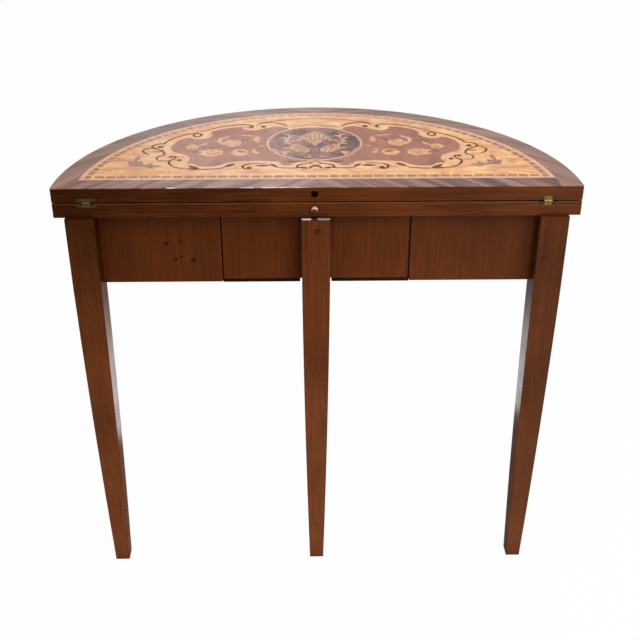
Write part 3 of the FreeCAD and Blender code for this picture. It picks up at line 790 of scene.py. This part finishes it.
# Dark ringed eyes with a pale heart, as (centre, half width, half length).
RINGED_EYES = [((205, 250), 8.5, 11)]
RING_HEART = 0.55
# Dark leaves that swell out of the lines, as (base, tip, width).
DARK_LEAVES = [
    ((73, 96), (99, 96), 8),
    ((62, 89), (74, 104), 7),
    ((147, 89), (131, 107), 9),
    ((186, 80), (206, 98), 9),
    ((190, 80), (208, 84), 7),
    ((28, 88), (12, 83), 8),
]
# Pale bands between the dark lines and the rosy panel.
BANDS = [
    [(8, 112), (20, 110), (32, 105), (38, 96), (46, 91), (56, 92), (62, 102), (72, 110), (90, 112),
     (112, 115), (124, 114)],
    [(126, 113), (142, 108), (150, 98), (160, 91), (176, 88), (190, 91), (199, 101), (208, 106)],
    [(212, 114), (209, 128), (214, 140), (224, 147), (236, 154), (245, 164), (250, 184), (250, 202),
     (245, 218), (235, 231), (222, 239)],
    [(218, 241), (208, 233), (197, 236), (190, 246), (189, 258), (184, 271), (170, 285), (152, 294),
     (130, 299)],
    [(122, 288), (113, 280), (104, 284), (100, 294), (96, 304), (84, 309), (72, 306), (60, 300), (54, 290)],
]

# Flowers of the right half: centre, half width, half length, petals and share of the warm heart.
FLOWERS = [
    ((140.5, 207), 16, 19, 5, 0.84),
    ((126, 159), 16.5, 16.5, 6, 0),
    ((171.5, 159), 18.5, 19.5, 7, 0.62),
    ((207, 187), 12, 13.5, 5, 0.62),
]
# Dark folds and eyes of the flowers.
FLOWER_EYES = [((115.5, 160.5), (132, 166.5), 9)]
FOLDS = [
    [(158.5, 165), (163, 172), (170, 176.5), (178, 174)],
    [(159, 161), (166, 155.5), (174, 155), (181, 158)],
    [(129, 215), (136, 222), (146, 221)],
    [(200, 183), (206, 178.5), (213, 182)],
]
# Pale leaves beside the flowers, as (base, tip, width, bend), the warm bud and the curled leaf.
PALE_LEAVES = [
    ((106, 167), (93, 155), 9, 0.1),
    ((108, 169), (99, 176), 7, 0.1),
    ((106, 244), (137, 250), 5, 0.04),
    ((198, 193), (184, 212), 7, 0.1),
    ((84, 194), (98, 188), 6),
    ((181, 163), (197, 168), 8, 0.1),
    ((180, 155), (195, 150), 8, -0.1),
]
BUD = [((100.5, 243), (99.5, 208), 12)]
CURLED_LEAF = [(152, 198), (160, 207), (164.5, 220), (161.5, 232), (155, 235.5), (148.5, 245)]
# Darker leaves and stems in the panel.
SHADE_LEAVES = [
    ((110, 238), (126, 214), 11, 0.1),
    ((193, 168), (209, 156), 9, 0.05),
    ((104, 256), (132, 254), 7),
    ((150, 141), (196, 140), 5, 0.1),
]
STEMS = [
    [(101, 207), (107, 196), (117.5, 188.5), (131, 183), (148.5, 185), (162, 194), (171.5, 203)],
    [(190, 171), (198, 175), (205, 174)],
    [(219, 194), (231, 204), (236, 214)],
]
# Mauve sprays in the field's corners.
SPRAYS = [
    ((297, 117), (292, 146), 9, 0.08),
    ((290, 96), (306, 119), 15, 0.1),
    ((287, 97), (282, 121), 12, -0.1),
    ((289, 98), (294, 123), 11),
    ((283, 98), (304, 104), 9),
    ((277, 99), (265, 113), 8, 0.15),
    ((267, 98), (250, 93), 8),
    ((285, 96), (264, 102), 7, 0.1),
    ((275, 95), (259, 87), 7),
    ((300, 103), (281, 110), 8, 0.1),
    ((292, 96), (275, 106), 8),
    ((271, 97), (254, 101), 6, 0.1),
]
SPRAY_VEINS = [
    [(289, 99), (296, 108), (302, 116)],
    [(296, 120), (294, 132), (293, 142)],
    [(286, 97), (276, 97), (266, 99)],
]

# The medallion's ornament, right half: pale leaves and scrolls round a middle bouquet.
BOUQUET = [(0, 267), (6, 263), (10, 262), (14, 256), (19, 251), (22, 243), (26, 237), (28, 228), (32, 219),
           (26, 216), (20, 222), (14, 217), (9, 208), (5, 200), (0, 192)]
BOUQUET_VEINS = [
    [(0, 254), (0, 232), (0, 212)],
    [(8, 256), (8, 240), (5, 216)],
    [(16, 247), (15, 232), (9, 215)],
    [(22, 235), (21, 226), (14, 215)],
]
SIDE_STEM = [(41, 262), (46, 250), (43, 238), (48, 224), (49, 212), (42, 201), (40, 186), (38, 170)]
STEM_LEAVES = [
    ((45, 250), (56, 258), 6),
    ((44, 240), (34, 248), 6),
    ((47, 228), (58, 236), 7),
    ((47, 230), (50, 204), 10),
    ((43, 204), (56, 200), 7, 0.1),
    ((42, 212), (33, 222), 6),
    ((58, 155), (73, 180), 9, -0.1),
    ((40, 176), (56, 182), 7, 0.1),
]
ACANTHUS = [(36, 201), (24, 194), (12, 180), (9, 166), (17, 157), (23, 163), (28, 160), (36, 174), (40, 188)]
ACANTHUS_VEINS = [
    [(32, 195), (21, 181), (16, 164)],
    [(35, 190), (28, 177), (24, 165)],
]
LOW_SCROLL = [(26, 151), (17, 150), (9, 145), (9, 137), (16, 135), (19, 141)]
LOW_CURL = [(24, 146), (15, 149), (7, 143), (6, 135), (13, 130), (19, 133)]
LOW_FLOWER = [(58, 161), (50, 165), (42, 163), (46, 154), (49, 143), (54, 152)]
PALMETTE = [(0, 131), (5, 122), (14, 118), (10, 111), (4, 113), (0, 106)]
PALMETTE_HEART = [(0, 99), (4, 97.5), (8, 93), (11.5, 84), (8.5, 82), (5.5, 87.5), (3, 89.5), (0, 90)]
PALMETTE_RIB = [(12, 104), (5, 112), (0, 119)]


def closed_by_mirror(half):
    """A whole outline from its right half, whose ends lie on the middle line."""
    return half + mirrored(half[1:-1])[::-1]


def pair(shapes):
    """Each shape and its mirror image."""
    return [copy for shape in shapes for copy in (shape, mirrored(shape))]


def leaves(rows):
    """Leaf outlines of the right half, and their mirror images."""
    return pair([leaf_outline(*row) for row in rows])


def lines(rows, width):
    """Lines of the right half, and their mirror images, at one width."""
    return [(points, width) for points in pair(rows)]


# The scrolls and flowers lie a little aside of the middle. The round panel lies farther aside and is
# longer along than across: a rosy ground over its seat, a pale ring and a dark panel.
LAID_ASIDE = -2.2
SEAT_MIDDLE = (0, 205)
ROUND_MIDDLE = (-3, 206)
ROUND_SQUEEZE = 1.06
ROUND_COUNT = 120
GROUND_RADIUS = 86.5
RING_RADIUS = 82
PANEL_RADIUS = 78.2


def inlay(name, material, outlines=(), strokes=(), rise=RISE_MID, aside=LAID_ASIDE):
    """One piece of marquetry: outlines as plates, strokes as (points, width)."""
    mesh = bmesh.new()
    for outline in outlines:
        plate(mesh, outline, rise)
        rise += RISE_STEP
    for points, width in strokes:
        ribbon(mesh, points, width, rise)
        rise += RISE_STEP
    bmesh.ops.translate(mesh, verts=mesh.verts, vec=(aside * MM, 0, 0))
    piece(name, mesh, material, "leaf")


def marquetry():
    """The round panel, the scrolls, the flowers, the sprays and the panel's ornament."""
    ground = oval(SEAT_MIDDLE, GROUND_RADIUS, GROUND_RADIUS, ROUND_COUNT)
    ring, panel = (oval(ROUND_MIDDLE, radius, radius * ROUND_SQUEEZE, ROUND_COUNT)
                   for radius in (RING_RADIUS, PANEL_RADIUS))
    inlay("round_ground", rosy_wood, [ground], rise=RISE_GROUND, aside=0)
    inlay("round_ring", string_wood, [ring], rise=RISE_RING, aside=0)
    inlay("round_panel", medallion_wood, [panel], rise=RISE_PANEL, aside=0)

    inlay("scroll_bands", band_wood, strokes=lines(BANDS, BAND_WIDTH), rise=RISE_LOW)
    eyes = pair([oval((x, along), radius, radius * EYE_SQUEEZE) for x, along, radius in EYES])
    eyes += pair([oval(*eye) for eye in RINGED_EYES])
    heart = smooth(closed_by_mirror(PALMETTE_HEART), True)
    inlay("scroll_lines", line_wood, leaves(DARK_LEAVES) + eyes + [heart],
          lines(SCROLLS, LINE_WIDTH) + lines(FINE_LINES, THIN_LINE))
    hearts = [oval(centre, wide * RING_HEART, long * RING_HEART) for centre, wide, long in RINGED_EYES]
    inlay("volute_hearts", band_wood, pair(hearts), rise=RISE_HIGH)

    inlay("shade_leaves", shade_wood, leaves(SHADE_LEAVES), lines(STEMS, VEIN), RISE_LOW)
    blooms = [oval(centre, wide, long, BLOOM_COUNT, petals)
              for centre, wide, long, petals, warm in FLOWERS]
    inlay("flowers", petal_wood, pair(blooms) + leaves(PALE_LEAVES),
          lines([CURLED_LEAF], CURL_WIDTH))
    warm_hearts = [oval(centre, wide * warm, long * warm, BLOOM_COUNT, petals)
                   for centre, wide, long, petals, warm in FLOWERS if warm]
    inlay("flower_hearts", warm_wood, pair(warm_hearts) + leaves(BUD), rise=RISE_HIGH)
    inlay("flower_folds", shade_wood, leaves(FLOWER_EYES), lines(FOLDS, VEIN), RISE_TOP)

    inlay("corner_sprays", spray_wood, leaves(SPRAYS))
    inlay("spray_veins", shade_wood, (), lines(SPRAY_VEINS, VEIN), RISE_HIGH)

    gilt = [smooth(closed_by_mirror(shape), True) for shape in (BOUQUET, PALMETTE)]
    gilt += [smooth(points, True) for points in pair([ACANTHUS])] + leaves(STEM_LEAVES)
    gilt += [smooth(points, True) for points in pair([LOW_FLOWER])]
    inlay("acanthus", gilt_wood, gilt,
          lines([SIDE_STEM], STEM_WIDTH) + lines([LOW_SCROLL], LOW_WIDTH))
    veins = lines(BOUQUET_VEINS[1:] + ACANTHUS_VEINS, VEIN) + [(BOUQUET_VEINS[0], VEIN)]
    veins += lines([LOW_CURL, PALMETTE_RIB], THIN_LINE)
    inlay("acanthus_veins", shade_wood, (), veins, RISE_HIGH)


# Dashes inside the pale stringing: how far in their row runs, its pitch, their size and corners.
DASH_ROW = 47
DASH_PITCH = 17.5
DASH_LONG = 14.3
DASH_WIDE = 9
DASH_CORNERS = ((-0.5, -0.5), (0.5, -0.5), (0.5, 0.5), (-0.5, 0.5))


def dashes():
    """Dashes along the straight side, then round the arc."""
    radius = LEAF_RADIUS / MM - DASH_ROW
    reach = math.sqrt(radius ** 2 - DASH_ROW ** 2)
    count = int(2 * reach / DASH_PITCH)
    mesh = bmesh.new()
    for i in range(1, count):
        x = -reach + 2 * reach * i / count
        outline = [(x + run * DASH_LONG, DASH_ROW + side * DASH_WIDE) for run, side in DASH_CORNERS]
        plate(mesh, outline, RISE_LOW)
    first = math.asin(DASH_ROW / radius)
    sweep = math.pi - 2 * first
    count = int(radius * sweep / DASH_PITCH)
    for i in range(count + 1):
        angle = first + sweep * i / count
        corners = [(angle + run * DASH_LONG / radius, radius + side * DASH_WIDE)
                   for run, side in DASH_CORNERS]
        plate(mesh, [(far * math.cos(turn), far * math.sin(turn)) for turn, far in corners], RISE_LOW)
    piece("dash_row", mesh, dash_wood, "leaf")


# Slotted screws of the hinge plates, in millimetres: how far they lie from the plates' ends and outer
# edges, the dome, the shank and the slot. The slots' turns are in radians.
SCREW_INSET = 4
SCREW_HEIGHT = 2.2
SCREW_RADIUS = 1.5
SCREW_DOME = 0.35
SCREW_SHANK = 1
SCREW_RINGS = 4
SCREW_SIDES = 24
SLOT_HALF = 0.35
SLOT_DEPTH = 0.3
SLOT_TURNS = {"lower": 0.6, "upper": 2.1}


def slotted_head(mesh, centre, turn):
    """A low dome facing the back, cut by a slot at some turn."""
    def loop(radius, height_at):
        return [mesh.verts.new(centre + Vector((across, -height_at(across, up), up)) * MM)
                for across, up in oval((0, 0), radius, radius, SCREW_SIDES)]

    def dome(across, up):
        in_slot = abs(across * math.sin(turn) - up * math.cos(turn)) < SLOT_HALF
        share = math.hypot(across, up) / SCREW_RADIUS
        return SCREW_DOME * (1 - share ** 2) - (SLOT_DEPTH if in_slot else 0)

    loops = [loop(SCREW_RADIUS * (ring + 1) / SCREW_RINGS, dome) for ring in range(SCREW_RINGS)]
    loops.append(loop(SCREW_RADIUS, lambda across, up: -SCREW_SHANK))
    skin(mesh, loops)


def screw_heads(side, metal):
    """Heads in the ends of a hinge's two plates; side is left or right."""
    for level, body in (("lower", "frame"), ("upper", "leaf")):
        near, far = low(f"hinge_{level}_{side}"), high(f"hinge_{level}_{side}")
        height = near.z + SCREW_HEIGHT * MM if level == "lower" else far.z - SCREW_HEIGHT * MM
        mesh = bmesh.new()
        for x in (near.x + SCREW_INSET * MM, far.x - SCREW_INSET * MM):
            slotted_head(mesh, Vector((x, BACK, height)), SLOT_TURNS[level])
        piece(f"hinge_screws_{level}_{side}", mesh, metal, body)


# Cloth: the linings of the fold. Their play in the recess and the profile of their edge, as (inset in
# metres, share of the thickness below the nap).
LINING_PLAY = 0.0003
LINING_PROFILE = ((0, 1), (0, 0.35), (0.0006, 0.05), (0.004, 0))
LINING_STEPS = 72


def lining(level, body, facing):
    """A half-round sheet laid in its leaf's recess, its nap side facing up (1) or down (-1)."""
    node = f"{level}_baize"
    near, far = low(node), high(node)
    thick = far.z - near.z
    radius = (far.y - BACK) - LINING_PLAY
    straight = near.y + LINING_PLAY - BACK
    mesh = bmesh.new()
    loops = []
    for inset, sink in LINING_PROFILE:
        height = far.z - sink * thick if facing > 0 else near.z + sink * thick
        reach = radius - inset
        first = math.asin((straight + inset) / reach)
        turns = [first + (math.pi - 2 * first) * i / LINING_STEPS for i in range(LINING_STEPS + 1)]
        loops.append([mesh.verts.new((reach * math.cos(turn), BACK + reach * math.sin(turn), height))
                      for turn in turns])
    skin(mesh, loops)
    thing = piece(f"{level}_lining", mesh, baize, body)
    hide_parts(node)


# The two felt pads on the pull-out leg's top, as shares of its width from the left, and their profile
# from the foot up, as (inset, share of the half height, corner radius), with the points of a corner.
PAD_SPANS = ((0, 0.34), (0.55, 1))
PAD_PROFILE = ((0, -1, 0.003), (0, 0.2, 0.003), (0.0003, 0.6, 0.003), (0.0012, 0.85, 0.003),
               (0.006, 1, 0.001))
PAD_CORNER = 4


def cushion(mesh, near, far):
    """A closed pad with rounded corners and a slightly crowned top, between two corners of its box."""
    centre = (near + far) / 2
    half = (far - near) / 2
    loops = []
    for inset, height, corner in PAD_PROFILE:
        loop = []
        for turn, (x_side, y_side) in enumerate(((1, 1), (-1, 1), (-1, -1), (1, -1))):
            for step in range(PAD_CORNER + 1):
                angle = math.pi / 2 * (turn + step / PAD_CORNER)
                x = centre.x + x_side * (half.x - inset - corner) + corner * math.cos(angle)
                y = centre.y + y_side * (half.y - inset - corner) + corner * math.sin(angle)
                loop.append(mesh.verts.new((x, y, centre.z + height * half.z)))
        loops.append(loop)
    skin(mesh, loops)


def leg_pad():
    """Two felt pads with a bare strip between them."""
    near, far = low("gate_leg_pad"), high("gate_leg_pad")
    mesh = bmesh.new()
    for span in PAD_SPANS:
        left, right = (near.x + (far.x - near.x) * share for share in span)
        cushion(mesh, Vector((left, near.y, near.z)), Vector((right, far.y, far.z)))
    thing = piece("leg_felt", mesh, felt, "drawer")
    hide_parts("gate_leg_pad")


marquetry()
dashes()
screw_heads("left", dull_brass)
screw_heads("right", bright_brass)
lining("lower", "frame", 1)
lining("upper", "leaf", -1)
leg_pad()

# Floor, light and camera: the floor's own glow, and the light that the room gives the table.
WHITE = (1, 1, 1, 1)
FLOOR_TONE = (0.9, 0.9, 0.9, 1)
FLOOR_ROUGH = 0.9
FLOOR_HALF = 20
FLOOR_GLOW = 0.97
FILL = 0.3
# The floor as reflections see it: white in front of the table, greyer there to the left, dim under the
# table, and a bright card behind it: its slant, where it begins and fades along y and ends along x.
CARD_SLANT = 0.17
CARD_BEGINS = (0.20, 0.29)
CARD_FADES = (0.46, 0.88)
CARD_HALF = (0.44, 0.36)
CARD_GLOW = 2.2
FADED_GLOW = 0.3
DIM_GLOW = 0.12
# Where the white floor in front ends along y, and where it turns from grey to white along x.
FRONT_ENDS = (-0.20, -0.24)
FRONT_ACROSS = (-0.7, 0.1)
LEFT_GLOW = 0.4
# Lights: name, place, aim, width, height and power.
LIGHTS = (
    ("key", (1.2, -1.9, 3.1), (0, -0.1, 0.5), 1.8, 1.8, 66),
    ("behind", (0.6, 2.3, 2.9), (0, 0.1, 0.6), 1.8, 1.8, 28),
    ("right_fill", (2.4, -2.2, 1.5), (0, -0.2, 0.5), 1.4, 1.4, 18),
    ("far_left", (-0.42, 3.2, 2), (-0.1, 0, 0.75), 1, 0.5, 5.5),
)


def seen(n):
    """One where the eye looks, straight or by a reflection, nought where light is gathered."""
    return n.calc("MAXIMUM", *[n.path(kind) for kind in ("Camera", "Glossy", "Transmission")])


def white_room():
    world = bpy.data.worlds.new("white_room")
    bpy.context.scene.world = world
    world.use_nodes = True
    n = Nodes(world.node_tree)
    strength = n.spread(seen(n), (0, 1), (FILL, 1))
    n.fill(n.tree.nodes["Background"], {"Color": WHITE, "Strength": strength})


def reflected_glow(n):
    """How bright each place of the floor is to reflections."""
    x, y, _ = n.axes(n.place())
    depth = n.calc("SUBTRACT", y, n.times(x, CARD_SLANT))
    card = n.calc("MINIMUM", n.spread(depth, CARD_BEGINS, (0, CARD_GLOW), smooth=True),
                  n.spread(depth, CARD_FADES, (CARD_GLOW, FADED_GLOW)))
    ends = n.spread(n.calc("ABSOLUTE", x), CARD_HALF)
    front = n.times(n.spread(x, FRONT_ACROSS, (LEFT_GLOW, 1)), n.spread(y, FRONT_ENDS))
    return n.calc("MAXIMUM", n.times(card, ends), front, DIM_GLOW)


def white_floor():
    material, n, shader = begin("white_floor", specular=0)
    n.fill(shader, {"Base Color": FLOOR_TONE, "Roughness": FLOOR_ROUGH})
    level = n.spread(n.path("Glossy"), (0, 1), (1, reflected_glow(n)))
    glow = n.add("Emission", {"Color": WHITE, "Strength": level})
    share = n.times(seen(n), FLOOR_GLOW)
    mixed = n.add("MixShader", {"Fac": share, 1: shader.outputs[0], 2: glow.outputs[0]})
    n.fill(n.tree.nodes["Material Output"], {"Surface": mixed.outputs[0]})
    mesh = bmesh.new()
    bmesh.ops.create_grid(mesh, x_segments=8, y_segments=8, size=FLOOR_HALF)
    floor = shaped("floor", mesh, material)


def softbox(name, spot, aim, wide, tall, power):
    lamp = bpy.data.lights.new(name, "AREA")
    lamp.shape = "RECTANGLE"
    lamp.size = wide
    lamp.size_y = tall
    lamp.energy = power
    thing = put(name, lamp)
    thing.location = spot
    thing.rotation_euler = (Vector(aim) - Vector(spot)).to_track_quat("-Z", "Y").to_euler()


def camera():
    eye = bpy.data.cameras.new("photo_eye")
    eye.sensor_width = SENSOR
    eye.lens = SENSOR * FOCAL_PIXELS / PHOTO_WIDTH
    thing = put("photo_eye", eye)
    thing.location = EYE
    thing.rotation_euler = (math.pi / 2 - EYE_PITCH, 0, -EYE_YAW)
    bpy.context.scene.camera = thing


white_room()
white_floor()
for light in LIGHTS:
    softbox(*light)
camera()
bpy.context.scene.view_settings.view_transform = "Standard"
